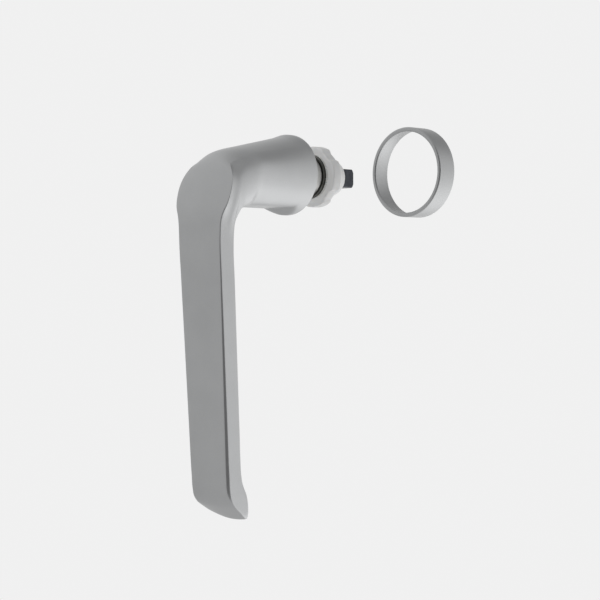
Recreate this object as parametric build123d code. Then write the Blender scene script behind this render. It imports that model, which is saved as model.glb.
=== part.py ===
from build123d import *
import os
from math import cos, sin, pi, radians

# Tilt-and-turn window handle with its detent bearing and its loose cover ring.
# Millimetres. The spindle axis is the Y axis, +Y goes into the sash, +Z is up and the lever hangs down.
# The origin is on the spindle axis in the sash face, where the cover ring's back edge seats.

# Driving dimensions
BASE_RADIUS = 15.0            # round foot of the neck
RIM_Y = -7.0                  # back rim of the neck, inside the cover ring
COLLAR_LAND = 2.2             # full-round strip at the rim
SCOOP_LENGTH = 6.0            # the foot's underside is scooped back to this far before the rim
RIM_WALL = 1.6                # wall left around the shallow recess in the rim
RECESS_DEPTH = 1.4
SPINDLE_SQUARE = 7.0          # across the flats of the drive spindle
SPINDLE_FRONT_Y = -33.0
SPINDLE_END_Y = 24.8
SPINDLE_CORNER = 0.6          # broken edge along the spindle
SPINDLE_POCKET_RADIUS = 5.3   # cored pocket in the neck past the hub
FIT_GAP = 0.05                # radial running clearance
SLIP_GAP = 0.02               # clearance of parts fixed together

NECK_FALL = 0.21              # the neck's top line falls towards the room, in mm per mm
UNDERSIDE_Z = -12.3           # flattened underside of the neck
BLADE_LEAN = 0.052            # the blade leans towards the sash, in mm per mm of drop
BLADE_THICK = 7.5
BLADE_TOP_Z = -29.0           # where the elbow has become the straight blade
BLADE_TOP_FRONT = -45.9       # front face there, measured from the rim
BLADE_TOP_HALF = 10.5
BLADE_TAPER = 0.0111          # half width lost per mm of drop
TIP_Z = -126.5
BEVEL_Y = -49.0               # a point on the crest of the bevel, and its slope and crown
BEVEL_Z = -118.5
BEVEL_SLOPE = 32.4
BEVEL_CROWN_RADIUS = 28.0
BLADE_FULLNESS = 7.0          # power of the blade's squared oval

HUB_RADIUS = 7.5              # bright spigot between the neck and the bearing
JOURNAL_RADIUS = 6.0
HUB_FRONT_Y = -27.0
HUB_SHOULDER_Y = 3.3
JOURNAL_END_Y = 6.62

WASHER_RADIUS = 8.1
THRUST_WASHER_THICK = 0.6
WAVE_WASHER_THICK = 0.45
BUSH_FLANGE_RADIUS = 8.4
BUSH_FLANGE_THICK = 1.0
BUSH_WALL = 0.9

HOUSING_RADIUS = 11.4
HOUSING_FRONT_Y = 5.4
HOUSING_BACK_Y = 9.5
HOUSING_WALL = 1.2
NOSE_RADIUS = 6.7
NOSE_END_Y = 17.3
KEY_WIDTH = 4.0               # locking rib along the top of the nose
KEY_END_RADIUS = 7.2

ROTOR_RADIUS = 6.5
ROTOR_FRONT_Y = 6.7
ROTOR_BACK_Y = 9.35
ROTOR_JOURNAL_RADIUS = 5.6
REAR_BUSH_BACK_Y = 12.3
CIRCLIP_FRONT_Y = 12.45
CIRCLIP_BACK_Y = 13.1
CIRCLIP_RADIUS = 5.75
GROOVE_RADIUS = 4.2
REAR_BUSH_WALL = 0.75
NOSE_BORE_RADIUS = 5.25
CHAMBER_GAP = 0.15            # between the rotor's rim and its chamber

BALL_RADIUS = 1.2
NOTCH_DEPTH = 0.45            # how far a ball drops into a notch of the rotor
RIDE_GAP = 0.03               # a ball is drawn this far off the rotor's rim
SPRING_WIRE = 0.28
SPRING_RADIUS = 0.85          # to the wire's centre line
SPRING_COILS = 4.5
SPRING_OUTER_END = 10.9       # distance of the spring's seat from the spindle axis

RING_RADIUS = 17.7
RING_LIP_RADIUS = 15.5
RING_BORE_RADIUS = 16.8
RING_WIDTH = 8.7
RING_LIP_WIDTH = 1.8
RING_BACK_Y = 68.0            # the loose ring waits this far behind its seat
RING_RAISE = 4.4              # and this far above the axis

PIN_RADIUS = 1.25
PIN_BORE_RADIUS = 0.7
PIN_SLOT = 0.5
PIN_Y = -14.0


def turned(*points):
    """Solid of revolution about the spindle axis, from (radius, station along Y) points."""
    return revolve(make_face(Polyline(*points, close=True)), Axis.Y)


def tube(outer, inner, y0, y1):
    """Plain ring or sleeve about the spindle axis."""
    return turned((inner, y0), (outer, y0), (outer, y1), (inner, y1))


def rod(radius, y0, y1):
    """Plain round bar on the spindle axis."""
    return turned((0, y0), (radius, y0), (radius, y1), (0, y1))


def square_bar(side, y0, y1):
    """Square bar on the spindle axis."""
    return Pos(0, (y0 + y1) / 2, 0) * Box(side, y1 - y0, side)


def keep_one(shape):
    """The single solid of a boolean result."""
    return shape.solids()[0] if len(shape.solids()) == 1 else shape


# Lever ------------------------------------------------------------------------------------------
def oval_point(start, end, turn, power):
    """Point of a full oval's quarter, from the end of 'start' (turn 0) to that of 'end' (turn 90)."""
    return start * abs(cos(turn)) ** (2 / power) + end * abs(sin(turn)) ** (2 / power)


def lever_section(outer, inner, half_width, outer_power, inner_power, middle=0.5):
    """Closed oval in the plane through two points of the side view, widest at 'middle' of the way."""
    across = Vector(half_width, 0, 0)
    foot = Vector(0, inner[0] + RIM_Y, inner[1])
    rise = Vector(0, outer[0] - inner[0], outer[1] - inner[1])
    centre = foot + rise * middle
    # right, outer, left and inner ends of the oval, and the fullness of the quarter after each
    ends = [across, rise * (1 - middle), across * -1, rise * -middle]
    powers = [outer_power, outer_power, inner_power, inner_power]
    steps = 6
    quarters = []
    for start, end, power in zip(ends, ends[1:] + ends[:1], powers):
        turns = [pi / 2 * k / steps for k in range(steps + 1)]
        points = [centre + oval_point(start, end, turn, power) for turn in turns]
        points[0] = centre + start
        points[-1] = centre + end
        quarters.append(Spline(*points, tangents=(end.normalized(), start.normalized() * -1)))
    return Wire(quarters)


def blade_front(z):
    """Front line of the blade in the side view, measured from the rim."""
    return BLADE_TOP_FRONT - BLADE_LEAN * (z - BLADE_TOP_Z)


def blade_section(z, flare=0.0):
    """Flat oval of the blade at height z, its back pushed out by 'flare' near the tip."""
    front = blade_front(z)
    half = BLADE_TOP_HALF + BLADE_TAPER * (z - BLADE_TOP_Z)
    back = front + BLADE_THICK + flare
    return lever_section((front, z), (back, z), half, BLADE_FULLNESS, BLADE_FULLNESS)


def lever_sections():
    """Ovals along the lever: neck, elbow, blade and hooked tip, stations measured from the rim."""
    sections = []
    # station, half width and fullness of the underside
    neck = [(0.0, 15.0, 2.3), (-11.0, 14.8, 2.4), (-21.0, 14.5, 2.6), (-28.0, 14.3, 2.7)]
    for y, half, inner_power in neck:
        top = BASE_RADIUS + NECK_FALL * y
        sections.append(lever_section((y, top), (y, UNDERSIDE_Z), half, 2.0, inner_power, 0.455))
    # outer point, inner point, half width, outer and inner fullness
    elbow = [
        ((-33.0, 8.1), (-31.0, -12.9), 14.15, 2.1, 2.9),
        ((-36.2, 7.15), (-33.4, -13.9), 14.05, 2.3, 3.2),
        ((-38.7, 5.6), (-35.3, -15.3), 13.95, 2.6, 3.8),
        ((-40.9, 2.6), (-36.7, -17.1), 13.9, 3.0, 4.4),
        ((-42.7, -2.0), (-37.6, -19.2), 13.8, 3.5, 5.0),
        ((-44.2, -7.0), (-38.2, -21.6), 13.4, 4.2, 5.5),
        ((-45.4, -12.3), (-38.4, -24.4), 12.3, 5.0, 6.0),
        ((-46.15, -18.5), (-38.5, -27.6), 10.95, 6.0, 6.5),
    ]
    sections += [lever_section(*row) for row in elbow]
    sections += [blade_section(z) for z in (BLADE_TOP_Z - 3, -62.0, -90.0, -110.0)]
    # height and how far the back is pushed out there
    hook = [(-112.4, 0.7), (-114.2, 1.6), (-116.1, 2.3), (-118.2, 2.8), (-121.0, 3.0), (TIP_Z, 2.2)]
    sections += [blade_section(z, flare) for z, flare in hook]
    return sections


def lever_handle():
    """Cast aluminium lever: round foot with a scooped shoulder, slanting neck, elbow, flat blade."""
    body = Solid.make_loft(lever_sections(), ruled=True)
    foot = turned(
        (0, RIM_Y - SCOOP_LENGTH), (11.5, RIM_Y - SCOOP_LENGTH), (BASE_RADIUS, RIM_Y - COLLAR_LAND),
        (BASE_RADIUS, RIM_Y), (0, RIM_Y))
    foot &= Pos(0, RIM_Y, -BASE_RADIUS) * Box(40, 4 * SCOOP_LENGTH, 2 * (BASE_RADIUS - 6))
    body += foot
    below = Pos(0, 10, -15) * Box(60, 60, 40)
    below -= Pos(0, 10, BEVEL_CROWN_RADIUS) * Rot(X=90) * Cylinder(BEVEL_CROWN_RADIUS, 80)
    body -= Pos(0, BEVEL_Y, BEVEL_Z) * Rot(X=-BEVEL_SLOPE) * below
    body -= rod(HUB_RADIUS + SLIP_GAP, HUB_FRONT_Y - SLIP_GAP, RIM_Y + 1)
    body -= rod(BASE_RADIUS - RIM_WALL, RIM_Y - RECESS_DEPTH, RIM_Y + 1)
    body -= rod(SPINDLE_POCKET_RADIUS, SPINDLE_FRONT_Y - 0.3, HUB_FRONT_Y)
    return keep_one(body)


# Turning parts inside the neck and the bearing ---------------------------------------------------
def hub_sleeve():
    """Steel hub pressed into the neck, broached square, with the journal that turns in the bearing."""
    body = rod(HUB_RADIUS, HUB_FRONT_Y, HUB_SHOULDER_Y) + rod(JOURNAL_RADIUS, HUB_SHOULDER_Y, JOURNAL_END_Y)
    shoulder_edge = body.edges().filter_by(GeomType.CIRCLE).group_by(Axis.Y)[-2]
    body = chamfer(shoulder_edge.filter_by(lambda e: abs(e.radius - HUB_RADIUS) < 0.01), 0.4)
    body -= square_bar(SPINDLE_SQUARE + 2 * SLIP_GAP, HUB_FRONT_Y - 1, JOURNAL_END_Y + 1)
    body -= Pos(0, PIN_Y, 0) * Cylinder(PIN_RADIUS + SLIP_GAP, 2 * HUB_RADIUS + 2)
    return keep_one(body)


def drive_spindle():
    """Black 7 mm square spindle with broken corners and a chamfered end."""
    bar = square_bar(SPINDLE_SQUARE, SPINDLE_FRONT_Y, SPINDLE_END_Y)
    long_edges = bar.edges().filter_by(Axis.Y)
    bar = fillet(long_edges, SPINDLE_CORNER)
    bar &= turned(
        (0, SPINDLE_FRONT_Y), (6.0, SPINDLE_FRONT_Y), (6.0, SPINDLE_END_Y - 1.6),
        (4.1, SPINDLE_END_Y), (0, SPINDLE_END_Y))
    bar -= tube(SPINDLE_SQUARE, GROOVE_RADIUS, CIRCLIP_FRONT_Y, CIRCLIP_BACK_Y)
    bar -= Pos(0, PIN_Y, 0) * Cylinder(PIN_RADIUS + SLIP_GAP, 12)
    return keep_one(bar)


def spindle_roll_pin():
    """Slotted spring pin across the hub and the spindle."""
    pin = Cylinder(PIN_RADIUS, 2 * HUB_RADIUS - 1.0) - Cylinder(PIN_BORE_RADIUS, 2 * HUB_RADIUS)
    pin -= Pos(PIN_RADIUS, 0, 0) * Box(2 * PIN_RADIUS - 0.5, PIN_SLOT, 2 * HUB_RADIUS)
    return keep_one(Pos(0, PIN_Y, 0) * pin)


def thrust_washer():
    """Dark oiled steel washer against the hub's shoulder."""
    back = HUB_SHOULDER_Y + THRUST_WASHER_THICK
    return tube(WASHER_RADIUS, JOURNAL_RADIUS + SLIP_GAP, HUB_SHOULDER_Y, back)


def detent_rotor():
    """Zinc index wheel on the square, with four notches, one for each quarter turn."""
    wheel = rod(ROTOR_RADIUS, ROTOR_FRONT_Y, ROTOR_BACK_Y)
    wheel += rod(ROTOR_JOURNAL_RADIUS, ROTOR_BACK_Y, REAR_BUSH_BACK_Y)
    middle = (ROTOR_FRONT_Y + ROTOR_BACK_Y) / 2
    for quarter in range(4):
        notch = Pos(0, middle, ROTOR_RADIUS + BALL_RADIUS - NOTCH_DEPTH) * Rot(X=90)
        notch *= Cylinder(BALL_RADIUS + 0.04, 6)
        wheel -= Rot(Y=90 * quarter) * notch
    wheel -= square_bar(SPINDLE_SQUARE + 2 * SLIP_GAP, ROTOR_FRONT_Y - 1, REAR_BUSH_BACK_Y + 1)
    return keep_one(wheel)


def spindle_circlip():
    """Open clip in the spindle's groove that holds the rotor, and with it the bearing."""
    side_gap = 0.03
    clip = tube(CIRCLIP_RADIUS, GROOVE_RADIUS + 0.04, CIRCLIP_FRONT_Y + side_gap, CIRCLIP_BACK_Y - side_gap)
    middle = (CIRCLIP_FRONT_Y + CIRCLIP_BACK_Y) / 2
    clip -= Pos(0, middle, -CIRCLIP_RADIUS) * Box(3.0, 4, CIRCLIP_RADIUS)
    return keep_one(clip)


# Bearing, fixed in the sash ----------------------------------------------------------------------
def detent_pocket(side):
    """Moulded pocket for one ball and its spring, above (+1) or below (-1) the rotor."""
    width = 2 * (BALL_RADIUS + 0.06)
    low = ROTOR_RADIUS - 1.0
    height = SPRING_OUTER_END - low
    y0 = HOUSING_FRONT_Y + HOUSING_WALL
    depth = HOUSING_BACK_Y - y0
    return Pos(0, y0 + depth / 2, side * (low + height / 2)) * Box(width, depth, height)


def bearing_housing():
    """White moulded front half of the bearing: a disc with the rotor chamber and two ball pockets."""
    edge = 0.5
    disc = turned(
        (0, HOUSING_FRONT_Y), (HOUSING_RADIUS - edge, HOUSING_FRONT_Y),
        (HOUSING_RADIUS, HOUSING_FRONT_Y + edge), (HOUSING_RADIUS, HOUSING_BACK_Y),
        (0, HOUSING_BACK_Y))
    disc -= rod(JOURNAL_RADIUS + FIT_GAP + BUSH_WALL, HOUSING_FRONT_Y - 1, HOUSING_BACK_Y)
    disc -= rod(ROTOR_RADIUS + CHAMBER_GAP, HOUSING_FRONT_Y + HOUSING_WALL, HOUSING_BACK_Y + 1)
    for side in (1, -1):
        disc -= detent_pocket(side)
    return keep_one(disc)


def bearing_nose():
    """White moulded back half: it closes the chamber, flares down to the nose and carries the key."""
    back = HOUSING_BACK_Y
    shoulder = (HOUSING_RADIUS - 0.4, back + 0.9)
    waist = (7.3, back + 5.4)
    rim = (NOSE_RADIUS - 0.9, NOSE_END_Y)
    outline = [
        Line((0, back), (HOUSING_RADIUS, back)),
        Line((HOUSING_RADIUS, back), shoulder),
        Spline(shoulder, (8.6, back + 3.0), waist),
        Spline(waist, (NOSE_RADIUS, NOSE_END_Y - 1.2), rim),
        Line(rim, (0, NOSE_END_Y)),
        Line((0, NOSE_END_Y), (0, back)),
    ]
    body = revolve(make_face(outline), Axis.Y)
    key = turned(
        (0, back), (HOUSING_RADIUS - 0.1, back), (HOUSING_RADIUS - 0.5, back + 2.0),
        (KEY_END_RADIUS, NOSE_END_Y - 0.6), (KEY_END_RADIUS - 0.8, NOSE_END_Y), (0, NOSE_END_Y))
    key_height = 2 * (HOUSING_RADIUS - 6)
    key &= Pos(0, (back + NOSE_END_Y) / 2, HOUSING_RADIUS) * Box(KEY_WIDTH, 20, key_height)
    body += key
    bush_outer = ROTOR_JOURNAL_RADIUS + FIT_GAP + REAR_BUSH_WALL
    body -= rod(bush_outer, HOUSING_BACK_Y - 1, CIRCLIP_BACK_Y + 0.3)
    body -= rod(NOSE_BORE_RADIUS, back, NOSE_END_Y + 1)
    return keep_one(body)


def front_bush():
    """Bright steel flanged bush that the hub's journal turns in."""
    inner = JOURNAL_RADIUS + FIT_GAP
    outer = inner + BUSH_WALL
    flange_y = HOUSING_FRONT_Y - BUSH_FLANGE_THICK
    back = HOUSING_FRONT_Y + HOUSING_WALL
    return turned(
        (inner, flange_y), (BUSH_FLANGE_RADIUS, flange_y), (BUSH_FLANGE_RADIUS, HOUSING_FRONT_Y),
        (outer, HOUSING_FRONT_Y), (outer, back), (inner, back))


def rear_bush():
    """Plain bearing in the nose for the rotor's journal."""
    inner = ROTOR_JOURNAL_RADIUS + FIT_GAP
    return tube(inner + REAR_BUSH_WALL, inner, HOUSING_BACK_Y + FIT_GAP, REAR_BUSH_BACK_Y)


def wave_washer():
    """Thin spring washer that takes up the end play, drawn flat."""
    back = HOUSING_FRONT_Y - BUSH_FLANGE_THICK
    return tube(WASHER_RADIUS - 0.1, JOURNAL_RADIUS + 0.15, back - WAVE_WASHER_THICK, back)


def detent_ball(side):
    """Hardened ball riding on the rotor's rim, above (+1) or below (-1) the axis."""
    middle = (ROTOR_FRONT_Y + ROTOR_BACK_Y) / 2
    return Pos(0, middle, side * (ROTOR_RADIUS + RIDE_GAP + BALL_RADIUS)) * Sphere(BALL_RADIUS)


def detent_spring(side):
    """Small compression spring between a ball and the end of its pocket."""
    middle = (ROTOR_FRONT_Y + ROTOR_BACK_Y) / 2
    low = ROTOR_RADIUS + RIDE_GAP + BALL_RADIUS + (BALL_RADIUS ** 2 - SPRING_RADIUS ** 2) ** 0.5
    start = low + 0.75 * SPRING_WIRE
    end = SPRING_OUTER_END - SPRING_WIRE / 2 - 0.03
    height = end - start
    path = Helix(pitch=height / SPRING_COILS, height=height, radius=SPRING_RADIUS)
    profile = Plane(origin=path @ 0, z_dir=path % 0) * Circle(SPRING_WIRE / 2)
    coil = Pos(0, 0, start) * sweep(profile, path=path)
    if side < 0:
        coil = Rot(Y=180) * coil
    return keep_one(Pos(0, middle, 0) * coil)


# Cover ring --------------------------------------------------------------------------------------
def cover_ring():
    """Satin aluminium ring with an inward lip in front and a chamfered bore behind."""
    back = RING_BACK_Y
    front = back - RING_WIDTH
    soft = 0.35
    ring = turned(
        (RING_LIP_RADIUS + soft, front), (RING_RADIUS - soft, front), (RING_RADIUS, front + soft),
        (RING_RADIUS, back - 0.15), (RING_RADIUS - 0.15, back), (RING_BORE_RADIUS + soft, back),
        (RING_BORE_RADIUS, back - 0.5), (RING_BORE_RADIUS, front + RING_LIP_WIDTH + 0.5),
        (RING_LIP_RADIUS, front + RING_LIP_WIDTH), (RING_LIP_RADIUS, front + soft))
    return Pos(0, 0, RING_RAISE) * ring


PARTS = {
    "lever_handle": lever_handle,
    "hub_sleeve": hub_sleeve,
    "drive_spindle": drive_spindle,
    "spindle_roll_pin": spindle_roll_pin,
    "thrust_washer": thrust_washer,
    "detent_rotor": detent_rotor,
    "spindle_circlip": spindle_circlip,
    "bearing_housing": bearing_housing,
    "bearing_nose": bearing_nose,
    "front_bush": front_bush,
    "rear_bush": rear_bush,
    "wave_washer": wave_washer,
    "detent_ball_top": lambda: detent_ball(1),
    "detent_ball_bottom": lambda: detent_ball(-1),
    "detent_spring_top": lambda: detent_spring(1),
    "detent_spring_bottom": lambda: detent_spring(-1),
    "cover_ring": cover_ring,
}

os.makedirs("parts", exist_ok=True)
for name, make in PARTS.items():
    export_step(make(), os.path.join("parts", name + ".step"))
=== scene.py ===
# %% [markdown]
# # A tilt-and-turn window handle
# The handle comes as a kit: the lever with its hub and square spindle, a white bearing already on it,
# and a loose cover ring that is pushed on before the handle goes into the sash. The CAD frame holds
# every piece at its place. Here the pieces that show get finer meshes, and all of them get finishes.

# %% Load the frame
import bpy
from math import asin, cos, sin, pi, radians, sqrt
from typing import NamedTuple
from mathutils import Vector, Matrix


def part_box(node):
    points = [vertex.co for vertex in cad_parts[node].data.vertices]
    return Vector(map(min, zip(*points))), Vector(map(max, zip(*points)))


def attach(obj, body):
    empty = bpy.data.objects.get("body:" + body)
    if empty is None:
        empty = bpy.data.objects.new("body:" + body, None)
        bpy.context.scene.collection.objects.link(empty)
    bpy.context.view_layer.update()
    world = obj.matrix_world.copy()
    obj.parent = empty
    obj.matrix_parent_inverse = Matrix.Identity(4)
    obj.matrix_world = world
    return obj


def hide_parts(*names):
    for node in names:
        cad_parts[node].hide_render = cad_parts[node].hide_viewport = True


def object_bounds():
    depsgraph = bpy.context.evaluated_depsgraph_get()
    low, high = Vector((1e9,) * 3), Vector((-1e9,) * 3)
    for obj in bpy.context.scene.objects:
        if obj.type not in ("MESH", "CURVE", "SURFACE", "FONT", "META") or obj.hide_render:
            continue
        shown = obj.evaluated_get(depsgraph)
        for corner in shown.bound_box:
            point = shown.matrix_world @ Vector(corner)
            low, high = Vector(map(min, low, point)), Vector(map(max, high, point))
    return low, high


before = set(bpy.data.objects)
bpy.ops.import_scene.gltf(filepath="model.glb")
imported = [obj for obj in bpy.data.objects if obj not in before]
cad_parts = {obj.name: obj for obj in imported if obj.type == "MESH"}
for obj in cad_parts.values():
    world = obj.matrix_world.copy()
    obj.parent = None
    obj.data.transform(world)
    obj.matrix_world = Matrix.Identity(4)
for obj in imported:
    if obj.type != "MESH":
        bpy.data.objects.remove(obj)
cad_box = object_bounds()
MM = 0.001

# %% [markdown]
# ## Camera
# A camera is placed by its distance and azimuth about the neck's rim, then aimed by small angles.

# %% Camera
CAMERA_AZIMUTH = radians(43.93)
CAMERA_DISTANCE = 0.80
CAMERA_DROP = 0.0546
CAMERA_PITCH = radians(0.593)
CAMERA_YAW = radians(-0.289)
CAMERA_ROLL = radians(-0.19)
CAMERA_LENS = 129.4
SENSOR_WIDTH = 36.0

rim_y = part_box("lever_handle")[1][1]


def make_camera():
    """A long-lens camera, its axes built from the azimuth, the pitch and the roll."""
    place = Vector((
        sin(CAMERA_AZIMUTH) * CAMERA_DISTANCE,
        rim_y - cos(CAMERA_AZIMUTH) * CAMERA_DISTANCE,
        -CAMERA_DROP))
    heading = CAMERA_AZIMUTH + CAMERA_YAW
    flat = cos(CAMERA_PITCH)
    forward = Vector((-sin(heading) * flat, cos(heading) * flat, sin(CAMERA_PITCH)))
    level = forward.cross(Vector((0, 0, 1))).normalized()
    upward = level.cross(forward)
    right = level * cos(CAMERA_ROLL) + upward * sin(CAMERA_ROLL)
    up = upward * cos(CAMERA_ROLL) - level * sin(CAMERA_ROLL)
    data = bpy.data.cameras.new("camera")
    data.lens = CAMERA_LENS
    data.sensor_width = SENSOR_WIDTH
    data.clip_start = 0.01
    data.clip_end = 20.0
    camera = bpy.data.objects.new("camera", data)
    bpy.context.scene.collection.objects.link(camera)
    turn = Matrix((right, up, -forward)).transposed()
    camera.matrix_world = Matrix.Translation(place) @ turn.to_4x4()
    bpy.context.scene.camera = camera
    return camera


camera = make_camera()
bpy.context.scene.view_settings.view_transform = "Standard"
bpy.context.scene.view_settings.look = "None"
print("camera at", [round(v, 3) for v in camera.matrix_world.translation])

# %% [markdown]
# ## Node helpers
# Each finish is a Principled shader with a few noise textures in front of it. These helpers keep the
# cells short: a node, a link, a noise of a real size in millimetres, and a ramp between two numbers.

# %% Node helpers
def new_finish(name, colour, roughness, metallic=0.0):
    """A material with a Principled shader, its plain values set on the shader's own sockets."""
    finish = bpy.data.materials.new(name)
    finish.use_nodes = True
    shader = finish.node_tree.nodes["Principled BSDF"]
    shader.inputs["Base Color"].default_value = (*colour, 1.0)
    shader.inputs["Roughness"].default_value = roughness
    shader.inputs["Metallic"].default_value = metallic
    return finish, finish.node_tree, shader


def place_coordinates(tree, stretch=(1, 1, 1)):
    """Object coordinates in metres, optionally stretched along an axis."""
    source = tree.nodes.new("ShaderNodeTexCoord")
    mapping = tree.nodes.new("ShaderNodeMapping")
    mapping.inputs["Scale"].default_value = stretch
    tree.links.new(source.outputs["Object"], mapping.inputs["Vector"])
    return mapping.outputs["Vector"]


def noise(tree, place, size_mm, detail=3.0, rough=0.55):
    """A noise texture whose lumps are about size_mm across."""
    node = tree.nodes.new("ShaderNodeTexNoise")
    node.inputs["Scale"].default_value = 1000.0 / size_mm
    node.inputs["Detail"].default_value = detail
    node.inputs["Roughness"].default_value = rough
    tree.links.new(place, node.inputs["Vector"])
    return node.outputs["Fac"]


def spread(tree, value, low, high, start=0.3, end=0.7):
    """Maps a 0 to 1 texture value onto the range low to high."""
    node = tree.nodes.new("ShaderNodeMapRange")
    node.inputs["From Min"].default_value = start
    node.inputs["From Max"].default_value = end
    node.inputs["To Min"].default_value = low
    node.inputs["To Max"].default_value = high
    tree.links.new(value, node.inputs["Value"])
    return node.outputs["Result"]


def two_colours(tree, value, dark, light):
    """Mixes two colours by a 0 to 1 value."""
    node = tree.nodes.new("ShaderNodeMix")
    node.data_type = "RGBA"
    node.inputs["A"].default_value = (*dark, 1.0)
    node.inputs["B"].default_value = (*light, 1.0)
    tree.links.new(value, node.inputs["Factor"])
    return node.outputs["Result"]


def bump(tree, shader, height, depth_mm, strength=1.0, under=None):
    """Small relief from a height texture; 'under' chains a coarser relief below it."""
    node = tree.nodes.new("ShaderNodeBump")
    node.inputs["Strength"].default_value = strength
    node.inputs["Distance"].default_value = depth_mm * MM
    tree.links.new(height, node.inputs["Height"])
    if under is not None:
        tree.links.new(under, node.inputs["Normal"])
    tree.links.new(node.outputs["Normal"], shader.inputs["Normal"])
    return node.outputs["Normal"]


# %% [markdown]
# ## Satin anodised aluminium
# The lever and the ring are blasted with fine beads and then anodised. Blasting leaves a dense field
# of tiny dimples with no direction, and anodising a faint cloudiness in the grey. A brushed texture
# would be wrong here, so the relief is two noises, one at bead size and one a little coarser, and the
# roughness wanders slightly with them.

# %% Satin aluminium
def satin_aluminium(name, colour=(0.398, 0.403, 0.407)):
    """Bead-blasted anodised aluminium, light grey."""
    finish, tree, shader = new_finish(name, colour, 0.36, 1.0)
    place = place_coordinates(tree)
    cloud = noise(tree, place, 14.0, 2.0)
    grain = noise(tree, place, 0.55, 3.0, 0.7)
    beads = noise(tree, place, 0.22, 1.0)
    tone = tree.nodes.new("ShaderNodeMath")
    tone.operation = "ADD"
    tree.links.new(spread(tree, cloud, 0.1, 0.45), tone.inputs[0])
    tree.links.new(spread(tree, grain, 0.0, 0.5), tone.inputs[1])
    light = tuple(min(1.0, c * 1.07) for c in colour)
    dark = tuple(c * 0.92 for c in colour)
    tree.links.new(two_colours(tree, tone.outputs[0], dark, light), shader.inputs["Base Color"])
    tree.links.new(spread(tree, grain, 0.33, 0.43), shader.inputs["Roughness"])
    coarse = bump(tree, shader, grain, 0.010, 0.55)
    bump(tree, shader, beads, 0.006, 0.6, coarse)
    return finish


lever_finish = satin_aluminium("satin_lever")
ring_finish = satin_aluminium("satin_ring", (0.385, 0.39, 0.393))
print("made", lever_finish.name, ring_finish.name)

# %% [markdown]
# ## Mesh helpers
# Two ways of making a shape cover this kit. Turned pieces come from a profile spun about the spindle
# axis. The lever is a skin over many cross-sections. Both end as rows of points with quads between,
# so one helper builds the mesh and closes its ends.

# %% Skin over rows of points
def skin(name, rows, finish, looped=False):
    """Quads over rows of points of equal count; the ends are capped, or joined into a ring."""
    count = len(rows[0])
    points = [p for row in rows for p in row]
    faces = []
    for r in range(len(rows) if looped else len(rows) - 1):
        after = (r + 1) % len(rows) * count
        for k in range(count):
            side = (k + 1) % count
            faces.append((r * count + k, r * count + side, after + side, after + k))
    if not looped:
        for base, order in ((0, -1), ((len(rows) - 1) * count, 1)):
            centre = sum((Vector(p) for p in points[base:base + count]), Vector()) / count
            points.append(tuple(centre))
            hub = len(points) - 1
            for k in range(count):
                pair = (base + k, base + (k + 1) % count)
                faces.append((hub, *pair[::order]))
    mesh = bpy.data.meshes.new(name)
    mesh.from_pydata([tuple(p) for p in points], [], faces)
    mesh.update()
    for face in mesh.polygons:
        face.use_smooth = True
    mesh.materials.append(finish)
    piece = bpy.data.objects.new(name, mesh)
    bpy.context.scene.collection.objects.link(piece)
    return piece


def round_off(profile, radius, steps=3):
    """Rounds each corner of an open profile with a small arc of points."""
    made = [profile[0]]
    for before, corner, after in zip(profile, profile[1:], profile[2:]):
        a, b, c = Vector(before), Vector(corner), Vector(after)
        reach = min(radius, (a - b).length * 0.45, (c - b).length * 0.45)
        start = b + (a - b).normalized() * reach
        end = b + (c - b).normalized() * reach
        for k in range(steps + 1):
            t = k / steps
            made.append(tuple(start * (1 - t) ** 2 + b * 2 * t * (1 - t) + end * t ** 2))
    made.append(profile[-1])
    return made


def turned(name, profile, finish, centre=(0, 0, 0), segments=144, swell=None, looped=False):
    """Spins a profile of (radius, y) points in mm about the spindle axis; swell adds to the radius."""
    rows = []
    for radius, y in profile:
        row = []
        for k in range(segments):
            angle = 2 * pi * k / segments
            r = radius + (swell(angle, radius, y) if swell else 0.0)
            across, along, up = r * cos(angle) * MM, y * MM, r * sin(angle) * MM
            row.append((centre[0] + across, centre[1] + along, centre[2] + up))
        rows.append(row)
    return skin(name, rows, finish, looped)


# %% [markdown]
# ## The lever's cross-sections
# The lever is cast in one piece: a round foot, a neck that slants down, an elbow, a flat blade and a
# bevelled tip. Its section changes all the way from a circle to a flat bar with chamfered edges.
# Boxes joined with booleans would leave seams that the casting doesn't have. So each station gives
# two points in the side view, the outer and the inner, a half width, and how far the section has
# turned from an oval into the bar. The crisp edge of the blade then fades into the neck by itself.

# %% One cross-section
class Station(NamedTuple):
    """One cross-section; lengths in mm, with y counted from the rim of the foot."""
    outer_y: float
    outer_z: float
    inner_y: float
    inner_z: float
    face: float             # half width of the flat front face
    waist: float            # half width half-way down the side
    back: float             # half width at the back
    back_radius: float
    bar: float              # 0 for a plain oval, 1 for the flat bar
    chamfer: float
    soft: float             # rounding of the chamfer's own edges
    middle: float = 0.5     # where along its depth the oval is widest
    bulge: float = 0.0      # how far the face falls back from its middle to its edge
    crown: float = 0.0      # how far the end face hangs below its left edge


FACE_STEPS = 6
SIDE_STEPS = 7
CORNER_STEPS = 4
BACK_STEPS = 4
FACE_SWELL = 2.2        # how quickly the side widens from its waist to the face
BACK_SWELL = 1.6        # and from its waist to the back
CROWN_LOWEST = 0.5      # the end's lowest place, as a share of the half width
# where each point of a section sits on the oval, degrees above its widest point
OVAL_ANGLES = (
    90, 81.5, 73, 64, 55, 46, 43, 40, 37, 34, 28, 21, 14, 7, 0, -9,
    -22, -31, -40, -49, -58, -66, -74, -82, -90)


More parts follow.
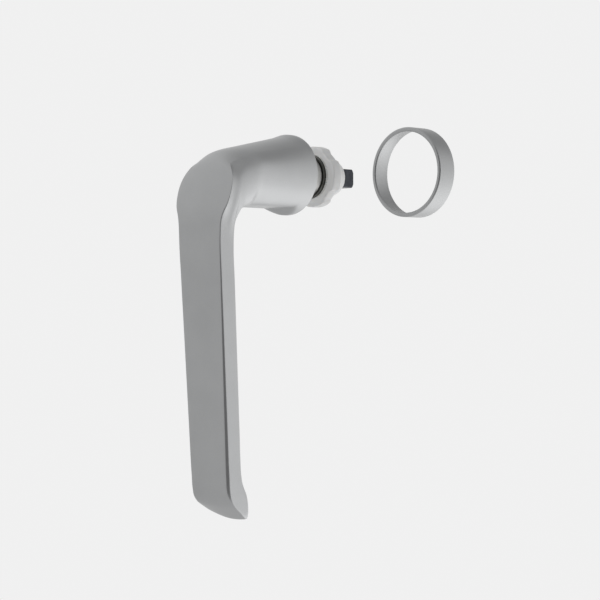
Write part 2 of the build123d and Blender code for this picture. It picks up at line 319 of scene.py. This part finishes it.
def oval_point(degrees, station, depth):
    """A point of the oval: elliptic outside, and inside a circle cut off flat at the inner point."""
    turn = radians(degrees)
    height = depth * station.middle
    if degrees >= 0:
        return station.waist * cos(turn), height + (depth - height) * sin(turn)
    cut = asin(min(1.0, height / station.waist))
    if -turn <= cut:
        return station.waist * cos(turn), height + station.waist * sin(turn)
    along_flat = (-turn - cut) / (pi / 2 - cut)
    return station.waist * cos(cut) * (1 - along_flat), 0.0


def side_width(station, t):
    """Half width of the bar a fraction t of the way down its side."""
    if t < 0.5:
        return station.waist + (station.face - station.waist) * (1 - 2 * t) ** FACE_SWELL
    return station.waist + (station.back - station.waist) * (2 * t - 1) ** BACK_SWELL


def bar_points(station, depth):
    """Right half of the flat bar, from the middle of its face to the middle of its back."""
    face, chamfer, soft = station.face, station.chamfer, station.soft
    slant = soft / sqrt(2)
    edge = depth - station.bulge
    points = []
    for k in range(FACE_STEPS):
        share = k / (FACE_STEPS - 1)
        points.append(((face - chamfer - soft) * share, depth - station.bulge * share ** 2))
    points += [
        (face - chamfer + slant, edge - slant),
        (face - chamfer / 2, edge - chamfer / 2),
        (face - slant, edge - chamfer + slant)]
    top = edge - chamfer - soft
    bottom = station.back_radius
    for k in range(SIDE_STEPS):
        t = k / SIDE_STEPS
        points.append((side_width(station, t), top + (bottom - top) * t))
    inset = station.back - bottom
    for k in range(CORNER_STEPS + 1):
        turn = pi / 2 * k / CORNER_STEPS
        points.append((inset + bottom * cos(turn), bottom - bottom * sin(turn)))
    points += [(inset * (1 - k / BACK_STEPS), 0.0) for k in range(1, BACK_STEPS + 1)]
    return points


def crown_drop(station, across):
    """How far a point hangs below the end's left edge; the lowest place is right of the middle."""
    from_lowest = (CROWN_LOWEST - across / station.waist) / (1 + CROWN_LOWEST)
    return station.crown * (1 - from_lowest ** 2)


def section(station):
    """The ring of points of one station, in metres."""
    outer = Vector((0, station.outer_y * MM + rim_y, station.outer_z * MM))
    inner = Vector((0, station.inner_y * MM + rim_y, station.inner_z * MM))
    depth = (outer - inner).length / MM
    out = (outer - inner).normalized()
    right = []
    for (bar_x, bar_v), degrees in zip(bar_points(station, depth), OVAL_ANGLES, strict=True):
        oval_x, oval_v = oval_point(degrees, station, depth)
        across = oval_x + (bar_x - oval_x) * station.bar
        rise = oval_v + (bar_v - oval_v) * station.bar
        right.append((across, rise))
    ring = right + [(-x, v) for x, v in reversed(right[1:-1])]
    return [
        inner + out * (v * MM) + Vector((x * MM, 0, -crown_drop(station, x) * MM))
        for x, v in ring]


# %% [markdown]
# ## Stations from the rim to the tip
# Few stations are given, where the shape turns. Smooth rows between them come from a cubic
# that never overshoots, so a straight neck stays straight and the elbow stays round. Just below the
# rim the foot is scooped away underneath with a crisp edge, so those rows are used as they are.

# %% Stations of the lever
BASE_RADIUS = (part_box("lever_handle")[1][0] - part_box("lever_handle")[0][0]) / 2 / MM
NECK_FALL = 0.21
UNDERSIDE = -12.3
BLADE_LEAN = 0.052
BLADE_TAPER = 0.0111
BLADE_TOP = -29.0
BLADE_TOP_FRONT = -45.9
BLADE_TOP_HALF = 10.6
BLADE_DEPTH = 7.5
BLADE_BACK_RADIUS = 1.3
EDGE_SOFTNESS = 0.12
ROW_SPACING = 1.6


def neck_station(y, half, underside, fall=NECK_FALL):
    """A station across the neck, y from the rim."""
    top = BASE_RADIUS + fall * y
    middle = -underside / (top - underside)
    return Station(y, top, y, underside, 7.0, half, half, 5.0, 0.0, 0.3, 1.5, middle)


def blade_station(z, chamfer):
    """A level station across the blade at height z."""
    front = BLADE_TOP_FRONT - BLADE_LEAN * (z - BLADE_TOP)
    half = BLADE_TOP_HALF + BLADE_TAPER * (z - BLADE_TOP)
    return Station(front, z, front + BLADE_DEPTH, z, half, half, half,
                   BLADE_BACK_RADIUS, 1.0, chamfer, EDGE_SOFTNESS)


# y from the rim, half width, height of the underside, fall of the top line
foot_rows = [neck_station(*row) for row in (
    (-2.15, 15.0, -15.0, 0.0),
    (-2.3, 14.98, -14.92, 0.02),
    (-3.3, 14.96, -14.05, 0.10),
    (-4.3, 14.94, -13.2, 0.16),
    (-5.3, 14.92, -12.35, 0.19),
    (-5.5, 14.91, -12.3, 0.20),
)]
neck_rows = [neck_station(*row) for row in (
    (-6.2, 14.9, UNDERSIDE, 0.205),
    (-12.0, 14.75, UNDERSIDE),
    (-21.0, 14.5, UNDERSIDE),
    (-27.5, 14.3, -12.45),
)]
elbow_rows = [Station(*row) for row in (
    (-33.0, 8.1, -31.0, -12.9, 7.0, 14.15, 13.8, 5.0, 0.0, 0.3, 1.5, 0.48, 0.0),
    (-36.2, 7.1, -33.4, -13.9, 7.0, 14.05, 13.2, 4.5, 0.08, 0.3, 1.5, 0.49, 0.2),
    (-38.6, 5.5, -35.3, -15.3, 7.6, 14.0, 12.6, 4.0, 0.34, 0.3, 1.2, 0.5, 0.5),
    (-40.1, 3.9, -36.1, -16.2, 9.2, 14.0, 12.1, 3.5, 0.66, 0.3, 0.8, 0.5, 0.9),
    (-41.0, 2.3, -36.7, -17.1, 10.8, 13.95, 11.6, 3.0, 0.84, 0.28, 0.5, 0.5, 1.2),
    (-41.8, 0.3, -37.15, -18.1, 12.3, 13.85, 11.1, 2.6, 0.95, 0.26, 0.3, 0.5, 1.45),
    (-42.65, -2.2, -37.6, -19.2, 13.25, 13.6, 10.8, 2.3, 1.0, 0.26, 0.15, 0.5, 1.45),
    (-43.6, -5.3, -37.95, -20.6, 13.8, 13.1, 10.6, 2.0, 1.0, 0.26, 0.1, 0.5, 1.3),
    (-44.5, -8.6, -38.15, -22.2, 13.75, 12.5, 10.5, 1.8, 1.0, 0.26, 0.1, 0.5, 1.1),
    (-45.3, -12.2, -38.35, -24.2, 13.1, 11.7, 10.5, 1.6, 1.0, 0.27, 0.1, 0.5, 0.75),
    (-45.7, -14.5, -38.45, -25.6, 12.1, 11.2, 10.5, 1.5, 1.0, 0.28, 0.1, 0.5, 0.45),
    (-45.95, -16.8, -38.5, -27.0, 11.3, 10.9, 10.5, 1.4, 1.0, 0.30, 0.11, 0.5, 0.22),
    (-46.08, -19.6, -38.5, -28.4, 10.85, 10.7, 10.5, 1.3, 1.0, 0.31, 0.12, 0.5, 0.1),
    (-46.05, -25.0, -38.4, -30.5, 10.65, 10.6, 10.5, 1.3, 1.0, 0.33, 0.12, 0.5, 0.0),
)]
blade_rows = [blade_station(z, chamfer) for z, chamfer in (
    (-38.0, 0.40), (-56.0, 0.55), (-75.0, 0.68), (-94.0, 0.80), (-107.0, 0.88))]
# outer y, z, inner y, z, half width, chamfer, crown
tip_rows = [Station(oy, oz, iy, iz, half, half, half, BLADE_BACK_RADIUS, 1.0, chamfer, EDGE_SOFTNESS,
                    crown=crown)
            for oy, oz, iy, iz, half, chamfer, crown in (
    (-41.60, -110.3, -33.9, -110.3, 9.70, 0.90, 0.0),
    (-41.50, -112.4, -33.3, -112.5, 9.67, 0.90, 0.0),
    (-41.25, -114.2, -32.3, -114.4, 9.63, 0.88, 0.02),
    (-40.8, -116.0, -31.35, -116.2, 9.60, 0.75, 0.12),
    (-39.95, -117.5, -30.75, -118.0, 9.52, 0.55, 0.40),
    (-38.4, -119.1, -30.42, -119.7, 9.46, 0.40, 0.85),
    (-36.2, -120.4, -30.35, -121.0, 9.40, 0.30, 1.35),
    (-33.9, -121.75, -30.45, -122.0, 9.25, 0.22, 1.90),
    (-32.4, -122.6, -30.7, -122.6, 8.9, 0.16, 2.20),
    (-31.6, -122.95, -31.1, -122.9, 8.2, 0.08, 2.35),
)]
# the last rows are too shallow for the blade's corner rounding
tip_rows = [
    row._replace(back_radius=min(row.back_radius, (row.inner_y - row.outer_y) * 0.45))
    for row in tip_rows]
tip_rows = [row._replace(soft=min(row.soft, row.back_radius * 0.3)) for row in tip_rows]
smooth_rows = neck_rows + elbow_rows + blade_rows + tip_rows
print("hand-made stations", len(foot_rows) + len(smooth_rows))
print("points in a section", len(section(foot_rows[0])))

# %% [markdown]
# ## Rows between the stations
# A plain cubic through the stations would overshoot beside each sharp turn and leave waves on the
# metal. This one takes gentle slopes, so a value never passes the stations on either side of it.

# %% Smooth rows
def gentle_slopes(places, values):
    """Slopes at each place of a monotone cubic through the values."""
    steps = [b - a for a, b in zip(places, places[1:])]
    rises = [(b - a) / h for a, b, h in zip(values, values[1:], steps)]
    slopes = [rises[0]]
    for left, right, h0, h1 in zip(rises, rises[1:], steps, steps[1:]):
        if left * right <= 0:
            slopes.append(0.0)
        else:
            w0, w1 = 2 * h1 + h0, h1 + 2 * h0
            slopes.append((w0 + w1) / (w0 / left + w1 / right))
    slopes.append(rises[-1])
    return slopes


def smooth_stations(rows, spacing):
    """Stations about 'spacing' mm apart along the lever, through all the given ones."""
    travel = [0.0]
    for a, b in zip(rows, rows[1:]):
        outer = sqrt((a.outer_y - b.outer_y) ** 2 + (a.outer_z - b.outer_z) ** 2)
        inner = sqrt((a.inner_y - b.inner_y) ** 2 + (a.inner_z - b.inner_z) ** 2)
        travel.append(travel[-1] + (outer + inner) / 2)
    columns = list(zip(*rows))
    slopes = [gentle_slopes(travel, column) for column in columns]
    made = []
    for i in range(len(rows) - 1):
        h = travel[i + 1] - travel[i]
        count = max(2, round(h / spacing))
        for k in range(count):
            t = k / count
            after = 3 * t ** 2 - 2 * t ** 3
            leave = (t ** 3 - 2 * t ** 2 + t) * h
            arrive = (t ** 3 - t ** 2) * h
            made.append(Station(*(
                (1 - after) * c[i] + leave * m[i] + after * c[i + 1] + arrive * m[i + 1]
                for c, m in zip(columns, slopes))))
    made.append(rows[-1])
    return made


# %% [markdown]
# ## Rim and recess
# Behind, the foot ends in a narrow rim round a shallow recess, and the hub goes in through the middle.
# These rows are plain circles, so the lever is one closed skin from the bore to the tip.

# %% Build the lever
HUB_BORE = 7.55
HUB_BORE_DEPTH = 18.0
RECESS_RADIUS = 13.3
RECESS_DEPTH = 1.4


def circle_row(radius, y):
    """A round row of the same number of points as a section."""
    return section(Station(y, radius, y, -radius, radius, radius, radius, 1.0, 0.0, 0.1, 0.1))


def rim_rows():
    """Circles from the bottom of the hub's bore out to the rim and round its edge."""
    profile = [
        (HUB_BORE, -HUB_BORE_DEPTH), (HUB_BORE, -RECESS_DEPTH), (RECESS_RADIUS, -RECESS_DEPTH),
        (RECESS_RADIUS, 0.0), (BASE_RADIUS, 0.0), (BASE_RADIUS, -2.0)]
    return [circle_row(r, y) for r, y in round_off(profile, 0.3)[:-1]]


def make_lever():
    """The whole lever as one closed mesh with a light subdivision."""
    stations = foot_rows + smooth_stations(smooth_rows, ROW_SPACING)
    rows = rim_rows() + [section(s) for s in stations]
    lever = skin("lever", rows, lever_finish)
    smoother = lever.modifiers.new("smoother", "SUBSURF")
    smoother.levels = 1
    smoother.render_levels = 1
    print("lever rows", len(rows), "faces", len(lever.data.polygons))
    return lever


lever = make_lever()
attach(lever, "handle")
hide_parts("lever_handle")

# %% [markdown]
# ## Cover ring
# The ring is turned from tube: a lip in front closes on the foot of the neck, and the bore behind is
# chamfered thin where it meets the sash. A lathe profile with tiny rounded corners gives its edges
# the bright line that a real turned and blasted edge has.

# %% Cover ring
def make_ring():
    """Cover ring about its own centre, from the CAD node's box."""
    low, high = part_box("cover_ring")
    centre = (0, high[1], (low[2] + high[2]) / 2)
    outer = (high[0] - low[0]) / 2 / MM
    width = (high[1] - low[1]) / MM
    bore = outer - 0.75
    lip = outer - 1.7
    front = -width
    profile = [
        (bore, -0.5), (outer - 0.45, 0.0), (outer - 0.12, 0.0), (outer, -0.12), (outer, front + 0.35),
        (outer - 0.4, front), (lip + 0.35, front), (lip, front + 0.35), (lip, front + 1.0),
        (bore, front + 1.6), (bore, -0.5)]
    rows = round_off(profile, 0.12)
    return turned("ring", rows[:-1], ring_finish, centre, 192, looped=True)


ring = make_ring()
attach(ring, "ring")
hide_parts("cover_ring")

# %% [markdown]
# ## Steel, polymer and zinc
# The small pieces keep their CAD shape and get a finish each. Turned steel has fine grooves round the
# axis, so its noise is stretched. Black-oxide bar stock is mottled and a little brown where the oxide
# is thin. Moulded polyamide is warm white with a faint unevenness, and lets a little light in.

# %% Finishes of the small pieces
def turned_steel(name, colour, low, high):
    """Turned or ground steel: fine grooves along the axis direction and patchy gloss."""
    finish, tree, shader = new_finish(name, colour, low, 1.0)
    grooves = noise(tree, place_coordinates(tree, (1, 9, 1)), 1.6, 2.0)
    patches = noise(tree, place_coordinates(tree), 2.5, 3.0)
    tree.links.new(spread(tree, patches, low, high), shader.inputs["Roughness"])
    dark = tuple(c * 0.85 for c in colour)
    tree.links.new(two_colours(tree, patches, dark, colour), shader.inputs["Base Color"])
    bump(tree, shader, grooves, 0.008, 0.5)
    return finish


def black_oxide(name):
    """Drawn square bar with a black oxide finish."""
    finish, tree, shader = new_finish(name, (0.02, 0.022, 0.028), 0.35, 0.6)
    place = place_coordinates(tree)
    blotches = noise(tree, place, 3.0, 4.0, 0.65)
    drawn = noise(tree, place_coordinates(tree, (1, 0.12, 1)), 0.5, 2.0)
    colour = two_colours(tree, spread(tree, blotches, 0, 1), (0.012, 0.014, 0.02), (0.05, 0.055, 0.066))
    tree.links.new(colour, shader.inputs["Base Color"])
    tree.links.new(spread(tree, blotches, 0.28, 0.5), shader.inputs["Roughness"])
    bump(tree, shader, drawn, 0.012, 0.5)
    return finish


def moulded(name, colour, roughness, glow):
    """Moulded polymer with a faintly uneven skin and a little light scattered inside."""
    finish, tree, shader = new_finish(name, colour, roughness)
    place = place_coordinates(tree)
    flow = noise(tree, place, 6.0, 2.0)
    skin_grain = noise(tree, place, 0.35, 2.0)
    dark = tuple(c * 0.94 for c in colour)
    tree.links.new(two_colours(tree, spread(tree, flow, 0, 1), dark, colour), shader.inputs["Base Color"])
    tree.links.new(spread(tree, skin_grain, roughness - 0.06, roughness + 0.06), shader.inputs["Roughness"])
    shader.inputs["Subsurface Weight"].default_value = glow
    shader.inputs["Subsurface Radius"].default_value = (0.0012, 0.001, 0.0008)
    bump(tree, shader, skin_grain, 0.008, 0.4)
    return finish


def cast_zinc(name):
    """Pressure-cast zinc, dull grey with a cloudy skin."""
    finish, tree, shader = new_finish(name, (0.42, 0.43, 0.45), 0.45, 1.0)
    place = place_coordinates(tree)
    cloud = noise(tree, place, 1.8, 4.0, 0.6)
    colour = two_colours(tree, spread(tree, cloud, 0, 1), (0.34, 0.35, 0.37), (0.47, 0.48, 0.5))
    tree.links.new(colour, shader.inputs["Base Color"])
    tree.links.new(spread(tree, cloud, 0.36, 0.56), shader.inputs["Roughness"])
    bump(tree, shader, cloud, 0.02, 0.5)
    return finish


node_finishes = {
    "hub_sleeve": turned_steel("turned_hub_steel", (0.42, 0.42, 0.41), 0.32, 0.42),
    "spindle_roll_pin": turned_steel("spring_pin_steel", (0.35, 0.35, 0.35), 0.3, 0.4),
    "spindle_circlip": turned_steel("circlip_steel", (0.30, 0.30, 0.31), 0.3, 0.42),
    # The two washers are made nearly black. They are dark steel, darkened further as painted shade for the
    # narrow gap round the hub.
    "thrust_washer": turned_steel("thrust_washer_steel_painted_shade", (0.13, 0.13, 0.12), 0.25, 0.35),
    "wave_washer": turned_steel("wave_washer_steel_painted_shade", (0.10, 0.10, 0.09), 0.25, 0.38),
    "detent_spring_top": turned_steel("spring_wire_top", (0.6, 0.6, 0.6), 0.2, 0.3),
    "detent_spring_bottom": turned_steel("spring_wire_bottom", (0.6, 0.6, 0.6), 0.2, 0.3),
    "detent_ball_top": turned_steel("ball_steel_top", (0.75, 0.75, 0.76), 0.08, 0.14),
    "detent_ball_bottom": turned_steel("ball_steel_bottom", (0.75, 0.75, 0.76), 0.08, 0.14),
    "drive_spindle": black_oxide("black_oxide_bar"),
    "detent_rotor": cast_zinc("cast_zinc"),
    "front_bush": turned_steel("bush_steel", (0.80, 0.80, 0.78), 0.18, 0.30),
    "rear_bush": moulded("dark_polymer_rear", (0.05, 0.05, 0.052), 0.45, 0.0),
}


def give_finish(node, finish):
    """Puts a finish in every material slot of a carried-over CAD node."""
    piece = bpy.data.objects[node]
    if not piece.material_slots:
        piece.data.materials.append(finish)
    for slot in piece.material_slots:
        slot.material = finish


for node, finish in node_finishes.items():
    give_finish(node, finish)
print("finished", len(node_finishes), "CAD nodes")

# %% [markdown]
# ## White bearing
# The bearing is moulded in two halves that meet inside the sash. Its round flange has four shallow
# hollows on the diagonals, which save material and give a grip, and a rib on top of the nose keys it
# into the sash. Moulded edges are never sharp. A lathe gives the round shape, and a function that
# changes the radius with the angle adds the hollows. The rib is a small piece of its own.

# %% White bearing
HOLLOW_DEPTH = 0.95
HOLLOW_HALF_ANGLE = radians(18)
KEY_HALF_WIDTH = 2.0
flange_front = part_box("bearing_housing")[0][1] / MM
flange_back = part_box("bearing_housing")[1][1] / MM
flange_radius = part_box("bearing_housing")[1][0] / MM
nose_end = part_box("bearing_nose")[1][1] / MM
bush_radius = 6.97
nose_bore = 5.3
rotor_bore = 6.45
# this step is at y 12.7; the CAD has it at 13.4, clear of the circlip, which the shell cuts into here
bore_step = flange_back + 3.2


def hollows(angle, radius, y):
    """What to add to the radius at an angle: the flange is hollowed on its four diagonals."""
    off_diagonal = (angle - pi / 4) % (pi / 2)
    off_diagonal = min(off_diagonal, pi / 2 - off_diagonal)
    t = max(0.0, min(1.0, (HOLLOW_HALF_ANGLE - off_diagonal) / (HOLLOW_HALF_ANGLE * 0.6)))
    nearness = max(0.0, min(1.0, (radius - 8.8) / 1.5))
    return -HOLLOW_DEPTH * t * t * (3 - 2 * t) * nearness


def make_key(nylon):
    """The rib on top of the nose that keys the bearing into the sash."""
    reach = nose_end - 0.2
    rows = []
    for y, top in ((flange_back + 0.1, flange_radius - 0.6), (flange_back + 2.0, flange_radius - 1.2),
                   (reach - 0.8, 7.15), (reach, 6.6)):
        corners = [(-KEY_HALF_WIDTH, 5.9), (-KEY_HALF_WIDTH, top - 0.4), (-KEY_HALF_WIDTH + 0.4, top),
                   (KEY_HALF_WIDTH - 0.4, top), (KEY_HALF_WIDTH, top - 0.4), (KEY_HALF_WIDTH, 5.9)]
        rows.append([(x * MM, y * MM, z * MM) for x, z in corners])
    key = skin("bearing_key", rows, nylon)
    soften = key.modifiers.new("soften", "BEVEL")
    soften.width = 0.25 * MM
    soften.segments = 2
    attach(key, "bearing")
    return key


def make_bearing():
    """The white bearing: a hollow shell with flange, flare and nose, and the key on it."""
    outline = [
        (bush_radius, flange_front + 1.2), (bush_radius, flange_front), (flange_radius, flange_front),
        (flange_radius, flange_back), (flange_radius - 0.7, flange_back + 0.7), (8.6, flange_back + 2.6),
        (7.25, flange_back + 5.0), (6.75, nose_end - 1.2), (6.2, nose_end), (nose_bore, nose_end),
        (nose_bore, bore_step), (rotor_bore, bore_step), (rotor_bore, flange_back + 0.05),
        (10.9, flange_back + 0.05), (10.9, flange_front + 1.2), (bush_radius, flange_front + 1.2)]
    rows = round_off(outline, 0.75, 4)
    nylon = moulded("white_nylon", (0.61, 0.61, 0.607), 0.45, 0.2)
    bearing = turned("bearing_shell", rows[:-1], nylon, segments=216, swell=hollows, looped=True)
    key = make_key(nylon)
    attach(bearing, "bearing")
    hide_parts("bearing_housing", "bearing_nose")
    return bearing, key


bearing, bearing_key = make_bearing()
print("bearing from y", round(flange_front, 2), "to", round(nose_end, 2))

# %% [markdown]
# ## Studio
# A satin metal shows only what it reflects, so the room matters as much as the finish. Lamps would
# leave spots on the round neck. A light tent is softer: a glowing table below, bright cloth behind,
# and cloth that is dimmer overhead and dimmest in front. The tent here is a world shader that blends a
# few brightness values, each given for one direction, and the table glows the same way. Seen
# directly, the tent and the table are one plain pale grey, as in a catalogue.

# %% The tent's brightness by direction
tent_values = [
    # towards x, y, z, and the brightness seen there
    ((-0.69, 0.72, 0.0), 0.95),
    ((0.25, 0.72, -0.62), 1.85),
    ((-0.07, 0.72, 0.69), 0.34),
    ((0.69, 0.72, 0.07), 1.02),
    ((-0.69, -0.72, 0.07), 0.69),
    ((0.69, -0.72, -0.05), 0.20),
    ((-0.69, 0.10, 0.70), 1.0),
    ((-0.69, -0.55, 0.45), 0.95),
    ((-0.69, 0.24, -0.69), 0.67),
    ((0.0, 0.0, 1.0), 0.62),
    ((0.0, -0.2, -1.0), 0.80),
]
TENT_SHARPNESS = 7.0
PAPER_BRIGHTNESS = 0.875


def tent_brightness(tree, direction):
    """Weighted mean of the tent's values; a value counts more the nearer its direction is."""
    def math(operation, *values):
        node = tree.nodes.new("ShaderNodeMath")
        node.operation = operation
        for socket, value in zip(node.inputs, values):
            if isinstance(value, float):
                socket.default_value = value
            else:
                tree.links.new(value, socket)
        return node.outputs[0]

    total, weighted = 0.0, 0.0
    for towards, value in tent_values:
        nearness = tree.nodes.new("ShaderNodeVectorMath")
        nearness.operation = "DOT_PRODUCT"
        nearness.inputs[1].default_value = Vector(towards).normalized()
        tree.links.new(direction, nearness.inputs[0])
        closeness = math("MULTIPLY_ADD", nearness.outputs["Value"], TENT_SHARPNESS, -TENT_SHARPNESS)
        weight = math("EXPONENT", closeness)
        total = math("ADD", weight, total)
        weighted = math("MULTIPLY_ADD", weight, value, weighted)
    lighting = math("DIVIDE", weighted, total)
    seen_directly = tree.nodes.new("ShaderNodeLightPath").outputs["Is Camera Ray"]
    to_paper = math("SUBTRACT", PAPER_BRIGHTNESS, lighting)
    return math("MULTIPLY_ADD", seen_directly, to_paper, lighting)


world = bpy.data.worlds.new("tent")
world.use_nodes = True
around = world.node_tree.nodes.new("ShaderNodeTexCoord")
glow = world.node_tree.nodes["Background"]
glow.inputs["Color"].default_value = (1, 1, 1, 1)
brightness = tent_brightness(world.node_tree, around.outputs["Generated"])
world.node_tree.links.new(brightness, glow.inputs["Strength"])
bpy.context.scene.world = world
print("tent values", len(tent_values))

# %% [markdown]
# ## Table
# Its paper glows as the tent does in each direction, so no edge shows in the metal's reflections.

# %% Table
cad_low, cad_high = (Vector(v) for v in cad_box)
middle = (cad_low + cad_high) / 2
TABLE_DROP = 0.42
TABLE_RADIUS = 3.0
TABLE_STEPS = 64


def table_paper():
    """Glowing paper, as bright in each place as the tent is in that direction."""
    finish, tree, shader = new_finish("table_paper", (0.02, 0.02, 0.02), 1.0)
    where = tree.nodes.new("ShaderNodeTexCoord")
    away = tree.nodes.new("ShaderNodeVectorMath")
    away.operation = "SUBTRACT"
    away.inputs[1].default_value = middle
    unit = tree.nodes.new("ShaderNodeVectorMath")
    unit.operation = "NORMALIZE"
    tree.links.new(where.outputs["Object"], away.inputs[0])
    tree.links.new(away.outputs["Vector"], unit.inputs[0])
    tree.links.new(tent_brightness(tree, unit.outputs["Vector"]), shader.inputs["Emission Strength"])
    shader.inputs["Emission Color"].default_value = (1, 1, 1, 1)
    shader.inputs["Specular IOR Level"].default_value = 0.0
    return finish


def make_table():
    mesh = bpy.data.meshes.new("table")
    turns = [2 * pi * k / TABLE_STEPS for k in range(TABLE_STEPS)]
    height = cad_low.z - TABLE_DROP
    rim = [(middle.x + TABLE_RADIUS * cos(t), middle.y + TABLE_RADIUS * sin(t), height) for t in turns]
    mesh.from_pydata(rim, [], [tuple(range(TABLE_STEPS))])
    mesh.materials.append(table_paper())
    table = bpy.data.objects.new("table", mesh)
    bpy.context.scene.collection.objects.link(table)
    return table


table = make_table()
print("table at z", round(table.data.vertices[0].co.z, 3))

# %% [markdown]
# ## A fill lamp for the bearing
# The foot of the neck is wide and close in front, so it shades the white bearing. A soft lamp linked
# to the bearing alone lifts it and leaves the metal's reflections as they are. The lever casts no
# shadow in its light, which no real lamp could do. The nylon's colour was chosen to suit this lamp.

# %% Fill lamp
def make_fill(receivers, direction, distance, side, power):
    """A soft square lamp that lights only the given pieces, and that only they can shade."""
    data = bpy.data.lights.new("fill", "AREA")
    data.size = side
    data.energy = power
    lamp = bpy.data.objects.new("fill", data)
    bpy.context.scene.collection.objects.link(lamp)
    towards = Vector(direction).normalized()
    lamp.location = Vector((0, flange_front * MM, 0)) + towards * distance
    lamp.rotation_euler = towards.to_track_quat("Z", "Y").to_euler()
    lit = bpy.data.collections.new("lit_by_fill")
    for piece in receivers:
        lit.objects.link(piece)
    lamp.light_linking.receiver_collection = lit
    lamp.light_linking.blocker_collection = lit
    return lamp


fill = make_fill([bearing, bearing_key], (-0.2, -0.95, 0.3), distance=0.5, side=0.3, power=1.1)
print("fill lamp", round(fill.data.energy, 1), "W")
